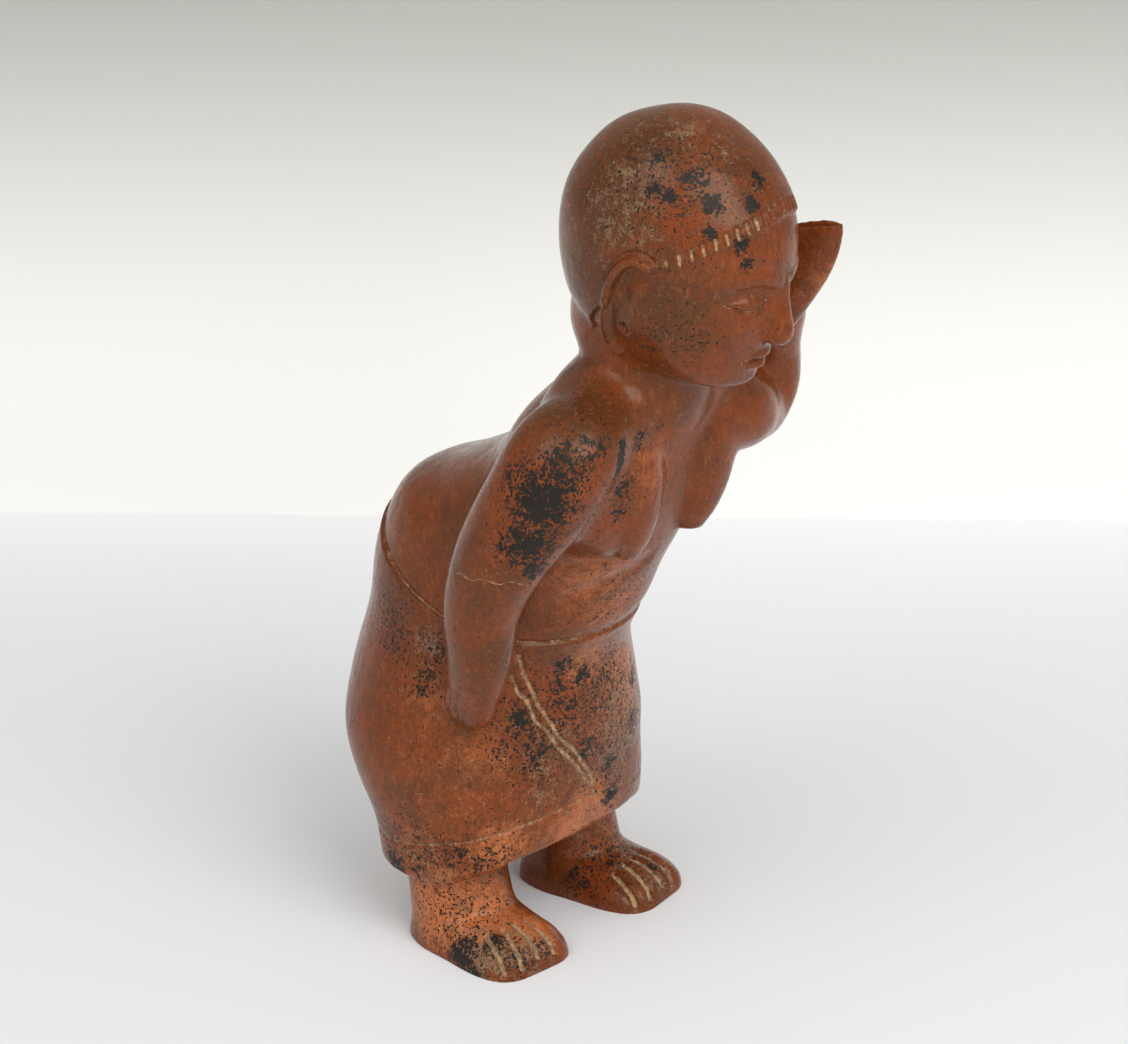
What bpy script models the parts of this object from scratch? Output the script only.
"""A standing woman in burnished red earthenware, about 360 mm tall.

She leans forward from the hips in a wrapped skirt. Her right arm hangs with its hand on
the hip, and her left hand is raised beside her brow, cupped like a scoop.

The figure faces -Y and her left side is +X. She is laid out in parts of her own height, so
every place and size in the layout is a number of parts: left of the middle, in front of
the middle of the feet, and up from the ground.
"""

import math

import bmesh
import bpy
import numpy as np
from mathutils import Matrix, Vector
from mathutils.bvhtree import BVHTree
from mathutils.kdtree import KDTree

HEIGHT = 0.36  # sole to crown
PARTS_TALL = 35.9
PART = HEIGHT / PARTS_TALL  # one part of the layout, 10 mm at this height
CLAY_GRAIN = 0.14  # parts, the cells that fuse the coils of clay into one body
FACETS = 9400  # triangles in the finished solid
RING_POINTS = 40
RINGS = 44

# Trunk from the hem to the neck, in profile: its front edge (front, up), its back edge
# (front, up), half width, squareness of the section.
TRUNK = (
    (2.0, 3.2, -5.9, 3.2, 5.9, 2.6),
    (2.2, 5.0, -6.4, 5.0, 6.0, 2.5),
    (2.3, 6.8, -7.7, 7.2, 6.3, 2.3),
    (2.5, 8.3, -8.3, 9.0, 6.35, 2.2),
    (2.6, 10.3, -8.2, 11.3, 5.8, 2.1),
    (2.5, 12.1, -7.5, 13.9, 5.3, 2.1),
    (3.0, 13.4, -7.1, 16.6, 5.1, 2.2),
    (3.85, 14.6, -6.1, 18.9, 4.9, 2.2),
    (4.4, 16.0, -3.6, 20.1, 4.8, 2.2),
    (5.4, 18.0, -0.8, 21.7, 4.8, 2.2),
    (6.4, 20.3, 0.6, 23.5, 4.8, 2.2),
    (6.8, 22.4, 1.7, 24.7, 4.1, 2.0),
    (7.6, 24.5, 2.6, 25.6, 2.75, 2.0),
    (8.2, 26.8, 1.9, 27.1, 2.65, 2.0),
    (8.2, 28.6, 2.3, 28.6, 2.6, 2.0),
    (8.0, 29.6, 3.4, 29.6, 2.2, 2.0),
)
# Head, from under the chin to the crown, in the same terms. It is laid out upright and
# facing front, then bent and turned about its middle.
HEAD = (
    (9.5, 26.0, 8.0, 26.0, 0.8, 2.0),
    (10.25, 26.2, 6.5, 26.2, 1.85, 2.0),
    (10.6, 27.0, 4.7, 26.7, 2.7, 2.0),
    (10.8, 28.1, 3.0, 27.5, 3.3, 2.0),
    (10.9, 29.4, 2.2, 28.7, 3.65, 2.0),
    (10.95, 30.9, 1.75, 30.1, 3.8, 2.0),
    (10.8, 32.2, 1.65, 31.6, 3.75, 2.0),
    (10.15, 33.45, 2.05, 33.0, 3.4, 2.0),
    (9.0, 34.6, 2.95, 34.4, 2.7, 2.0),
    (7.5, 35.4, 4.4, 35.35, 1.65, 2.0),
    (6.4, 35.7, 5.4, 35.7, 0.5, 2.0),
)
TRUNK_AXIS = -2.4  # the front of a line up inside the skirt
HEAD_AXIS = 6.5  # the front and the height of the head's middle
HEAD_MIDDLE = 30.0
HEAD_TURN = 10  # degrees to her left
HEAD_BENT = 13  # degrees that her face is bent down
# Limbs: left, front, up, half width across, half width along the front.
RIGHT_ARM = (
    (-1.6, 4.6, 23.2, 1.0, 1.2),
    (-3.4, 5.0, 23.5, 1.7, 1.9),
    (-4.9, 5.1, 23.2, 2.0, 2.2),
    (-5.7, 4.4, 21.5, 2.0, 2.15),
    (-6.3, 3.0, 18.95, 1.75, 1.85),
    (-6.35, 2.05, 16.6, 1.5, 1.55),
    (-6.05, 1.6, 14.3, 1.2, 1.35),
    (-5.65, 0.95, 12.5, 0.95, 1.2),
    (-5.4, 0.4, 11.3, 0.75, 1.1),
    (-5.25, 0.15, 10.6, 0.4, 0.6),
)
LEFT_ARM = (
    (1.4, 4.8, 22.8, 1.0, 1.2),
    (3.2, 5.1, 22.9, 1.8, 2.1),
    (4.8, 5.1, 22.4, 1.9, 2.3),
    (6.2, 4.9, 21.9, 1.6, 1.8),
    (7.25, 4.75, 21.8, 1.45, 1.55),
    (7.75, 4.95, 22.8, 1.35, 1.45),
    (7.35, 5.35, 24.6, 1.25, 1.35),
    (6.5, 6.4, 26.4, 1.05, 1.2),
    (5.4, 7.6, 28.0, 0.6, 0.9),
)
# The shoulders, from the right to the middle: half width is upright here.
YOKE = (
    (-5.0, 5.0, 23.0, 1.6, 1.8),
    (-3.6, 4.8, 23.6, 1.75, 2.1),
    (-1.8, 4.6, 24.3, 1.8, 2.4),
    (0, 4.5, 24.6, 1.8, 2.5),
)
# The raised hand from its heel to the finger tips: the edge by the brow, the outer edge,
# and half the thickness.
RAISED_HAND = (
    (5.5, 5.5, 24.4, 5.6, 6.1, 24.3, 0.2),
    (5.4, 5.2, 25.2, 5.5, 7.4, 25.4, 0.55),
    (5.1, 5.8, 26.7, 5.3, 8.9, 27.3, 0.6),
    (4.7, 6.7, 28.4, 5.1, 10.0, 28.9, 0.5),
    (4.3, 7.6, 29.8, 4.9, 10.6, 30.3, 0.4),
    (4.0, 8.2, 30.6, 4.7, 10.8, 31.2, 0.3),
)
LEG = (
    (3.5, -1.9, 8.0, 2.1, 2.1),
    (3.5, -1.95, 3.6, 2.0, 2.1),
    (3.5, -1.75, 1.8, 2.0, 2.2),
    (3.5, -1.4, 0.4, 2.0, 2.4),
)
# Feet: front, half width, height; they turn out by FOOT_SPLAY degrees.
FOOT = (
    (-3.45, 0.8, 0.7),
    (-3.1, 1.65, 1.5),
    (-1.8, 2.2, 2.9),
    (-0.2, 2.25, 2.0),
    (1.0, 2.3, 1.6),
    (1.8, 2.25, 1.5),
    (2.5, 2.05, 1.25),
    (2.95, 1.7, 0.95),
    (3.2, 1.1, 0.5),
)
FOOT_SQUARENESS = 2.2
FOOT_LEFT = 3.65
FEET_MIDDLE = -0.1
FOOT_SPLAY = 7
HAND_SQUARENESS = 2.3
BREAST = (
    (2.5, 5.3, 23.6, 1.9, 1.2),
    (2.4, 5.75, 22.4, 1.9, 1.35),
    (2.25, 5.85, 21.0, 1.7, 1.35),
    (2.1, 5.75, 19.7, 1.3, 1.15),
    (2.0, 5.75, 18.75, 0.85, 0.8),
    (1.95, 5.85, 18.2, 0.42, 0.42),
)
# The flat of the chest on her right, from the shoulder to the side of the breast. On her
# left the raised arm draws it in and back.
CHEST = (
    (4.5, 4.9, 23.6, 1.5, 1.5),
    (4.3, 5.05, 22.2, 1.5, 1.6),
    (3.9, 5.0, 20.8, 1.4, 1.6),
    (3.3, 4.95, 19.6, 1.1, 1.4),
    (2.7, 5.0, 18.8, 0.7, 0.9),
    (2.3, 5.2, 18.4, 0.35, 0.4),
)
CHEST_DRAWN = 0.9
CHEST_MIDDLE = -0.05
# Nose, in the head's own frame, and beads of clay on the face: left, up, half width,
# half height, how proud of the face.
NOSE = (
    (0, 10.7, 31.0, 0.32, 0.35),
    (0, 10.85, 30.2, 0.36, 0.42),
    (0, 11.05, 29.4, 0.46, 0.5),
    (0, 11.15, 28.85, 0.6, 0.6),
    (0, 10.85, 28.45, 0.55, 0.42),
)
EYE = (1.6, 30.15, 0.85, 0.34, 0.1)
LIPS = ((0, 27.75, 0.9, 0.2, 0.16), (0, 27.3, 0.75, 0.22, 0.15))
CHIN = (0, 26.6, 0.9, 0.5, 0.08)
BEAD_POINTS = 24

# Seams where two coils were smoothed together: left, front, up, radius, passes.
SMOOTHED = (
    (0, 6.0, 25.0, 4.5, 30),
    (-2.5, 5.6, 25.2, 2.4, 70),
    (2.5, 5.6, 25.2, 2.4, 70),
    (4.2, 5.4, 23.2, 3.4, 60),
    (-4.2, 5.4, 23.2, 3.4, 60),
    (-4.6, 4.4, 19.6, 2.6, 40),
    (4.6, 4.8, 20.2, 2.6, 40),
    (3.6, 6.0, 21.8, 2.8, 50),
    (-3.6, 6.0, 21.8, 2.8, 50),
    (-5.2, 0.6, 12.5, 2.0, 10),
    (7.5, 4.8, 21.8, 1.6, 12),
    (5.3, 6.6, 26.0, 1.6, 12),
)
SMOOTH_ALL = 4

# The skirt: how its top edge climbs towards the back, how thick the cloth is, its border,
# and how the hem is lifted over the feet.
SKIRT_TOP = 14.35
SKIRT_RISE = 0.27  # up for each part further back
SKIRT_BEND = 0.033
SKIRT_CLOTH = 0.12
SKIRT_EDGE = 0.16
SKIRT_SEARCH = 4  # how far above its front edge the skirt may reach
HEM_UP = 3.2
HEM_LIFT = 1.4
LIFT_STARTS = -1.0  # how far forward the hem begins to rise
LIFT_ENDS = 2.2
LIFT_FADES = 6.0  # the height over which the lift dies out
# Degrees from the front to her left, up: the border line, a band above the hem.
BORDER = ((-180, 4.45), (-125, 4.4), (-97, 4.55), (-74, 5.15), (-59, 5.55), (-43, 5.9), (-22, 6.1))
BORDER += ((-8, 6.1), (2, 6.05), (22, 5.75), (45, 5.4), (75, 5.0), (110, 4.6), (180, 4.45))
# The free edge of the cloth: degrees from the front to her left, up.
OVERLAP = ((-44, 12.95), (-39.5, 11.7), (-32, 10.4), (-22, 9.05), (-9, 7.6), (1.5, 6.3))
EDGE_WIDTH = 0.22
LINE_WIDTH = 0.2
LINE_DEPTH = 0.1

# The hair: a close cap whose edge falls from over the brow to the ears.
HAIRLINE_FRONT = 33.3
HAIRLINE_DROP = 2.75
HAIRLINE_SIDE = 79  # degrees from the front where it has dropped that far
HAIRLINE_CURVE = 1.7
HAIR_THICK = 0.12
HAIR_EDGE = 0.2
NAPE = (25.5, 28.0)  # where the cap thins out towards the neck
EAR = ((7.4, 31.1), (6.75, 31.1), (6.2, 30.9), (5.8, 30.55), (5.55, 30.0), (5.45, 29.3))
EAR += ((5.35, 28.4), (5.35, 27.6), (5.45, 27.0), (5.85, 26.7))
EAR_PROUD = 0.3
EAR_WIDTH = 0.34

# Toes: left of the foot's middle, at each end of a cut that runs between these fronts.
TOES = ((-1.4, -1.95), (-0.62, -1.05), (0.05, -0.1), (0.7, 0.85))
TOE_CUTS_FROM = 1.5
TOE_CUTS_TO = 3.4
TOE_DEPTH = 0.16
FINGERS = (-0.5, 0.0, 0.5)  # where the fingers part, in half widths of the hand
FINGER_DEPTH = 0.1
# The hollow along the top edge of the raised hand, its half width and its depth.
CUP = ((4.15, 8.5, 30.8), (4.65, 10.5, 31.2))
CUP_WIDTH = 0.28
CUP_DEPTH = 0.32
PATH_STEPS = 60
OVERHEAD = 9  # a height above the feet, to look down on them from


def parts(left, front, up):
    """A place in the layout, as Blender's coordinates in metres."""
    return Vector((left, -front, up)) * PART


def spread(rows, steps):
    """The rows as points of a smooth Catmull-Rom curve, at this many even steps."""
    rows = np.array(rows, float)
    padded = np.vstack([2 * rows[0] - rows[1], rows, 2 * rows[-1] - rows[-2]])
    out = []
    for place in np.linspace(0, len(rows) - 1, steps):
        i = min(int(place), len(rows) - 2)
        t = place - i
        a, b, c, d = padded[i : i + 4]
        out.append(
            b
            + 0.5 * t * (c - a)
            + t * t * (a - 2.5 * b + 2 * c - 0.5 * d)
            + t**3 * (1.5 * (b - c) + 0.5 * (d - a))
        )
    return np.array(out)


def ring(centre, across, along, squareness=2.0):
    """A closed ring of points: an ellipse, or a squarer section above squareness 2."""
    power = 2.0 / squareness
    points = []
    for i in range(RING_POINTS):
        angle = math.tau * i / RING_POINTS
        c, s = math.cos(angle), math.sin(angle)
        x = math.copysign(abs(c) ** power, c)
        y = math.copysign(abs(s) ** power, s)
        points.append(centre + across * x + along * y)
    return points


def skin(bm, rings):
    """Joins rings into one closed tube with flat ends."""
    loops = [[bm.verts.new(p) for p in points] for points in rings]
    for lower, upper in zip(loops, loops[1:]):
        for i in range(RING_POINTS):
            j = (i + 1) % RING_POINTS
            bm.faces.new((lower[i], lower[j], upper[j], upper[i]))
    bm.faces.new(reversed(loops[0]))
    bm.faces.new(loops[-1])


def add_slab(bm, edges, place=None):
    """A form between two edges: rows of first edge, second edge, half width, squareness."""
    rings = []
    middles = [(a + b) / 2 for a, b, _, _ in edges]
    for i, (a, b, half_width, squareness) in enumerate(edges):
        run = middles[min(i + 1, len(edges) - 1)] - middles[max(i - 1, 0)]
        along = (a - b) / 2
        across = along.cross(run).normalized() * half_width * PART
        points = ring(middles[i], across, along, squareness)
        rings.append([place(p) for p in points] if place else points)
    skin(bm, rings)


def add_profile(bm, rows, place=None):
    """A form on the middle plane, from its front and back edges in profile."""
    rows = spread(rows, RINGS)
    edges = [(parts(0, f, u), parts(0, bf, bu), w, s) for f, u, bf, bu, w, s in rows]
    add_slab(bm, edges, place)


def add_limb(bm, rows, place=None):
    """A tube along a curve, its sections square to it."""
    rows = spread(rows, RINGS)
    middles = [parts(*row[:3]) for row in rows]
    rings = []
    for i, row in enumerate(rows):
        run = middles[min(i + 1, RINGS - 1)] - middles[max(i - 1, 0)]
        run.normalize()
        forward = Vector((0, -1, 0))
        along = (forward - run * forward.dot(run)).normalized()
        across = along.cross(run).normalized()
        points = ring(middles[i], across * row[3] * PART, along * row[4] * PART)
        rings.append([place(p) for p in points] if place else points)
    skin(bm, rings)


def mirrored(rows):
    """The same rows on her other side."""
    return [(-row[0],) + tuple(row[1:]) for row in rows]


def head_turn():
    """From the head laid out upright and facing front to where she looks."""
    middle = Matrix.Translation(parts(0, HEAD_AXIS, HEAD_MIDDLE))
    turn = Matrix.Rotation(math.radians(HEAD_TURN), 4, "Z")
    bend = Matrix.Rotation(math.radians(HEAD_BENT), 4, "X")
    return middle @ turn @ bend @ middle.inverted()


def turned(point):
    """A point of the head where she looks."""
    return head_turn() @ point


def foot_turn(side):
    """From a foot laid out on the middle plane to its place on the ground at her side."""
    turn = Matrix.Rotation(side * math.radians(FOOT_SPLAY), 4, "Z")
    return Matrix.Translation(parts(FEET_MIDDLE + side * FOOT_LEFT, 0, 0)) @ turn


def hem_lift(front):
    """How far the hem is lifted, this far in front."""
    share = min(max((front - LIFT_STARTS) / (LIFT_ENDS - LIFT_STARTS), 0), 1)
    return HEM_LIFT * share * share * (3 - 2 * share)


def lifted(point):
    """A point of the trunk with the hem lifted over the feet."""
    up = point.z / PART
    share = min(max(1 - (up - HEM_UP) / LIFT_FADES, 0), 1)
    return point + Vector((0, 0, hem_lift(-point.y / PART) * share * share * PART))


def add_foot(bm, side):
    """A foot from heel to toes; the half below the ground is cut off at the end."""
    rings = []
    for front, half_width, height in spread(FOOT, RINGS):
        across = Vector((1, 0, 0)) * half_width * PART
        upward = Vector((0, 0, 1)) * height * PART
        points = ring(parts(0, front, 0), across, upward, FOOT_SQUARENESS)
        rings.append([foot_turn(side) @ p for p in points])
    skin(bm, rings)


def form_tree(add, *args):
    """One form by itself, to find places on its surface."""
    bm = bmesh.new()
    add(bm, *args)
    bmesh.ops.recalc_face_normals(bm, faces=bm.faces)
    tree = BVHTree.FromBMesh(bm)
    bm.free()
    return tree


def add_bead(bm, face, left, up, half_width, half_height, proud):
    """A flattened bead of clay pressed on the front of the face."""
    start = parts(left, PARTS_TALL, up)
    place, normal, _, _ = face.ray_cast(start, Vector((0, 1, 0)))
    depth = half_height + proud
    across = Vector((-normal.y, normal.x, 0)).normalized()
    upward = across.cross(normal) * -1
    basis = Matrix((across * half_width, upward * half_height, normal * depth)).transposed()
    matrix = Matrix.Translation(place - normal * half_height * PART)
    matrix = head_turn() @ matrix @ (basis * PART).to_4x4()
    rows = BEAD_POINTS // 2
    bmesh.ops.create_uvsphere(
        bm, u_segments=BEAD_POINTS, v_segments=rows, radius=1, matrix=matrix
    )


def fused_clay():
    """All the coils, fused into one body of clay."""
    bm = bmesh.new()
    add_profile(bm, TRUNK, lifted)
    add_profile(bm, HEAD, turned)
    add_limb(bm, YOKE + tuple(mirrored(YOKE)[-2::-1]))
    add_limb(bm, RIGHT_ARM)
    add_limb(bm, LEFT_ARM)
    hand = spread(RAISED_HAND, RINGS)
    add_slab(bm, [(parts(*r[:3]), parts(*r[3:6]), r[6], HAND_SQUARENESS) for r in hand])
    for side, leg, breast in ((1, LEG, BREAST), (-1, mirrored(LEG), mirrored(BREAST))):
        add_limb(bm, leg)
        add_limb(bm, [(row[0] + CHEST_MIDDLE,) + tuple(row[1:]) for row in breast])
        add_foot(bm, side)
    add_limb(bm, mirrored(CHEST))
    add_limb(bm, [(row[0] - CHEST_DRAWN, row[1] - CHEST_DRAWN) + row[2:] for row in CHEST])
    add_limb(bm, NOSE, turned)
    face = form_tree(add_profile, HEAD)
    for bead in (EYE, mirrored([EYE])[0], *LIPS, CHIN):
        add_bead(bm, face, *bead)
    bmesh.ops.recalc_face_normals(bm, faces=bm.faces)
    mesh = bpy.data.meshes.new("coils")
    bm.to_mesh(mesh)
    bm.free()
    coils = bpy.data.objects.new("coils", mesh)
    bpy.context.scene.collection.objects.link(coils)
    fuse = coils.modifiers.new("fuse", "REMESH")
    fuse.mode = "VOXEL"
    fuse.voxel_size = CLAY_GRAIN * PART
    return baked("clay", coils)


def baked(name, obj):
    """The object's mesh with its modifiers applied, and the object itself removed."""
    graph = bpy.context.evaluated_depsgraph_get()
    mesh = bpy.data.meshes.new_from_object(obj.evaluated_get(graph))
    mesh.name = name
    bpy.data.objects.remove(obj)
    return mesh


def points_of(mesh):
    """The mesh's points as an array, one row each."""
    flat = np.empty(len(mesh.vertices) * 3, np.float32)
    mesh.vertices.foreach_get("co", flat)
    return flat.reshape(-1, 3).astype(float)


def normals_of(mesh):
    """The mesh's normals at its points."""
    flat = np.empty(len(mesh.vertices) * 3, np.float32)
    mesh.vertex_normals.foreach_get("vector", flat)
    return flat.reshape(-1, 3).astype(float)


def put_points(mesh, points):
    """Moves the mesh's points."""
    mesh.vertices.foreach_set("co", points.astype(np.float32).ravel())
    mesh.update()


def smooth_seams(mesh):
    """Draws each point towards its neighbours, most where coils were smoothed together."""
    points = points_of(mesh)
    edges = np.empty(len(mesh.edges) * 2, np.int32)
    mesh.edges.foreach_get("vertices", edges)
    a, b = edges.reshape(-1, 2).T
    count = np.bincount(edges, minlength=len(points))
    passes = np.full(len(points), float(SMOOTH_ALL))
    for left, front, up, radius, times in SMOOTHED:
        away = np.linalg.norm(points - np.array(parts(left, front, up)), axis=1)
        near = np.clip(1 - away / (radius * PART), 0, 1)
        passes = np.maximum(passes, times * np.minimum(2 * near, 1))
    for done in range(int(passes.max())):
        middle = np.zeros_like(points)
        for axis in range(3):
            middle[:, axis] += np.bincount(a, points[b, axis], len(points))
            middle[:, axis] += np.bincount(b, points[a, axis], len(points))
        middle /= count[:, None]
        share = np.clip(passes - done, 0, 1)[:, None] * 0.5
        points += (middle - points) * share
    put_points(mesh, points)


def distances(points, path):
    """How far each point is from a path of close points."""
    tree = KDTree(len(path))
    for i, place in enumerate(path):
        tree.insert(place, i)
    tree.balance()
    low = np.min(path, axis=0) - PART
    high = np.max(path, axis=0) + PART
    near = np.all((points > low) & (points < high), axis=1)
    away = np.full(len(points), np.inf)
    for i in np.nonzero(near)[0]:
        away[i] = tree.find(points[i])[2]
    return away


def press(mesh, path, width, depth):
    """Presses a line into the clay along a path, or raises one where depth is below 0."""
    points = points_of(mesh)
    away = distances(points, path) / (width * PART)
    share = np.where(away < 1, (1 - np.minimum(away, 1) ** 2) ** 2, 0)
    put_points(mesh, points - normals_of(mesh) * (share * depth * PART)[:, None])


def path_on(form, starts, toward):
    """The path where straight lines from the starts first meet a form."""
    places = [form.ray_cast(start, Vector(toward))[0] for start in starts]
    return [place for place in places if place is not None]


def on_trunk(trunk, degrees, up):
    """The place on the trunk at an angle from the front to her left, and a height."""
    angle = math.radians(degrees)
    toward = Vector((math.sin(angle), -math.cos(angle), 0))
    return trunk.ray_cast(parts(0, TRUNK_AXIS, up), toward)[0]


def skirt_top(back):
    """The height of the skirt's top edge, this far back."""
    return SKIRT_TOP + SKIRT_RISE * back + SKIRT_BEND * back**2


def on_border(trunk, degrees):
    """The place on the border line at an angle from the front to her left."""
    return on_trunk(trunk, degrees, float(np.interp(degrees, *np.array(BORDER).T)))


def dress(mesh):
    """The wrapped skirt: its cloth, border line and free edge."""
    trunk = form_tree(add_profile, TRUNK, lifted)
    points = points_of(mesh)
    normals = normals_of(mesh)
    cloth = np.zeros(len(points))
    low = points[:, 2] < (SKIRT_TOP + SKIRT_SEARCH) * PART
    for i in np.nonzero(low & (points[:, 2] > (HEM_UP - 1) * PART))[0]:
        away = trunk.find_nearest(points[i])[3] / PART
        _, back, up = points[i] / PART
        under = np.clip((skirt_top(back) - up) / SKIRT_EDGE + 0.5, 0, 1)
        cloth[i] = under * np.clip(2 - away / SKIRT_CLOTH, 0, 1)
    put_points(mesh, points + normals * (cloth * SKIRT_CLOTH * PART)[:, None])
    border = [on_border(trunk, degrees) for degrees in range(-180, 180, 2)]
    press(mesh, border, LINE_WIDTH, LINE_DEPTH)
    edge = [on_trunk(trunk, *row) for row in spread(OVERLAP, PATH_STEPS)]
    press(mesh, edge, EDGE_WIDTH, -LINE_DEPTH)


def comb_hair(mesh):
    """The close cap of hair, its raised edge over the brow, and the ears below it."""
    unturn = head_turn().inverted()
    points = points_of(mesh)
    normals = normals_of(mesh)
    own = np.array([unturn @ Vector(p) for p in points]) / PART
    front = -own[:, 1] - HEAD_AXIS
    toward = np.degrees(np.arctan2(np.abs(own[:, 0]), front))
    line = HAIRLINE_FRONT - HAIRLINE_DROP * (toward / HAIRLINE_SIDE) ** HAIRLINE_CURVE
    hair = np.clip((own[:, 2] - line) / HAIR_EDGE + 0.5, 0, 1)
    hair *= np.clip((own[:, 2] - NAPE[0]) / (NAPE[1] - NAPE[0]), 0, 1)
    hair *= np.hypot(own[:, 0], front) < HEAD_AXIS
    put_points(mesh, points + normals * (hair * HAIR_THICK * PART)[:, None])
    head = form_tree(add_profile, HEAD)
    for side in (-1, 1):
        starts = [parts(side * PARTS_TALL, *row) for row in spread(EAR, PATH_STEPS)]
        rim = [head_turn() @ place for place in path_on(head, starts, (-side, 0, 0))]
        press(mesh, rim, EAR_WIDTH, -EAR_PROUD)


def part_toes(mesh):
    """The grooves between the toes, on the top and front of each foot."""
    for side in (-1, 1):
        foot = form_tree(add_foot, side)
        place = foot_turn(side)
        for left, toe_left in TOES:
            cut = np.linspace((left, TOE_CUTS_FROM), (toe_left, TOE_CUTS_TO), PATH_STEPS)
            starts = [place @ parts(*row, OVERHEAD) for row in cut]
            toes = path_on(foot, starts, (0, 0, -1))
            press(mesh, [spot for spot in toes if spot.z > 0], LINE_WIDTH, TOE_DEPTH)


def part_fingers(mesh):
    """The grooves between the fingers of the hanging hand, and the hollow of the raised one."""
    arm = form_tree(add_limb, RIGHT_ARM)
    rows = spread(RIGHT_ARM[-3:], PATH_STEPS)
    for share in FINGERS:
        starts = [parts(-PARTS_TALL, row[1] + share * row[4], row[2]) for row in rows]
        press(mesh, path_on(arm, starts, (1, 0, 0)), LINE_WIDTH, FINGER_DEPTH)
    press(mesh, [parts(*row) for row in np.linspace(*CUP, PATH_STEPS)], CUP_WIDTH, CUP_DEPTH)


def faceted(mesh):
    """The clay with fewer faces, cut flat at the soles and set over the origin."""
    obj = bpy.data.objects.new("fine", mesh)
    bpy.context.scene.collection.objects.link(obj)
    fewer = obj.modifiers.new("fewer faces", "DECIMATE")
    mesh.calc_loop_triangles()
    fewer.ratio = FACETS / len(mesh.loop_triangles)
    mesh = baked("figurine", obj)
    bm = bmesh.new()
    bm.from_mesh(mesh)
    whole = bm.verts[:] + bm.edges[:] + bm.faces[:]
    bmesh.ops.bisect_plane(
        bm, geom=whole, plane_co=(0, 0, 0), plane_no=(0, 0, 1), dist=1e-6, clear_inner=True
    )
    bmesh.ops.holes_fill(bm, edges=[e for e in bm.edges if e.is_boundary])
    bmesh.ops.triangulate(bm, faces=bm.faces)
    xs = [v.co.x for v in bm.verts]
    ys = [v.co.y for v in bm.verts]
    middle = Vector((min(xs) + max(xs), min(ys) + max(ys), 0)) / 2
    bmesh.ops.translate(bm, verts=bm.verts, vec=-middle)
    bm.to_mesh(mesh)
    bm.free()
    return mesh


def red_slip():
    """Burnished red slip, browned by the fire."""
    material = bpy.data.materials.new("burnished_red_slip")
    material.use_nodes = True
    shader = material.node_tree.nodes["Principled BSDF"]
    shader.inputs["Base Color"].default_value = (0.2, 0.05, 0.02, 1)
    shader.inputs["Roughness"].default_value = 0.42
    shader.inputs["Metallic"].default_value = 0
    return material


def main():
    for obj in list(bpy.data.objects):
        bpy.data.objects.remove(obj)
    clay = fused_clay()
    smooth_seams(clay)
    dress(clay)
    comb_hair(clay)
    part_toes(clay)
    part_fingers(clay)
    mesh = faceted(clay)
    mesh.materials.append(red_slip())
    mesh.shade_smooth()
    mesh.set_sharp_from_angle(angle=math.radians(60))
    figurine = bpy.data.objects.new("figurine", mesh)
    bpy.context.scene.collection.objects.link(figurine)


main()
